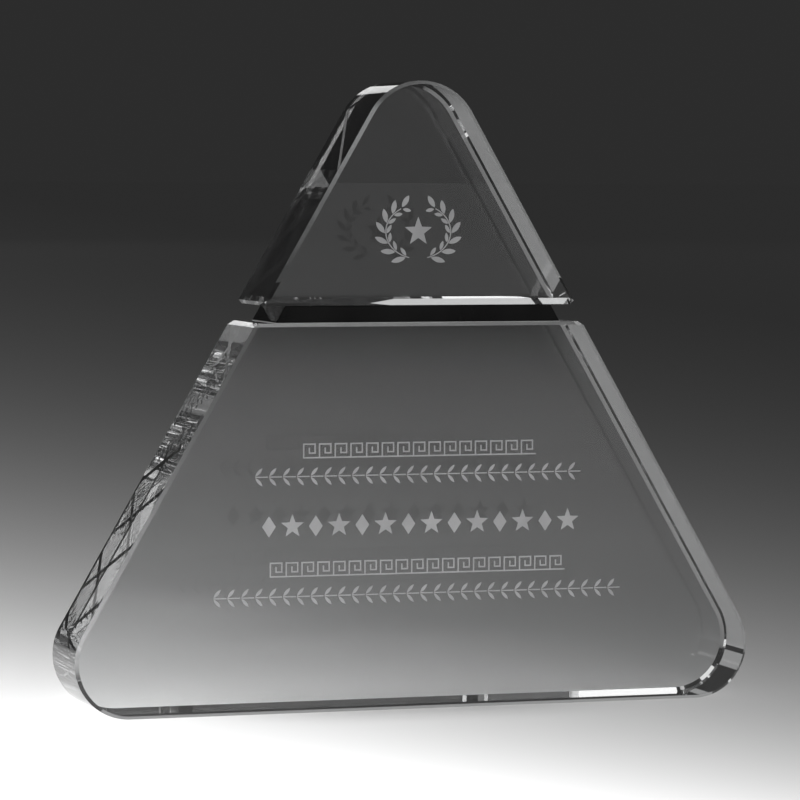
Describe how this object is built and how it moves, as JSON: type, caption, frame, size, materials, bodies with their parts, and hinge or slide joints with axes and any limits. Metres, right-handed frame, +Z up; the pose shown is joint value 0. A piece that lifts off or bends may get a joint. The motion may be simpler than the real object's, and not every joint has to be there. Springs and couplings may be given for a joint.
{
  "type": "crystal award",
  "caption": "Free-standing award: a rounded triangular plate of clear crystal in a base and a tip, bonded over a black crystal bar.",
  "frame": {"origin": "under the middle of the foot, on the surface that the award stands on", "axes": "+Z up, +X across the width to the viewer's right, and the front face looks towards -Y"},
  "size_m": [0.208, 0.03, 0.1845],
  "materials": {
    "clear_crystal": "polished clear optical crystal",
    "black_crystal": "polished opaque black crystal",
    "clear_adhesive": "clear cured adhesive film"
  },
  "bodies": {
    "root": {"crystal_base": "clear_crystal", "crystal_tip": "clear_crystal", "black_spacer_bar": "black_crystal", "lower_glue_film": "clear_adhesive", "upper_glue_film": "clear_adhesive"}
  },
  "joints": []
}
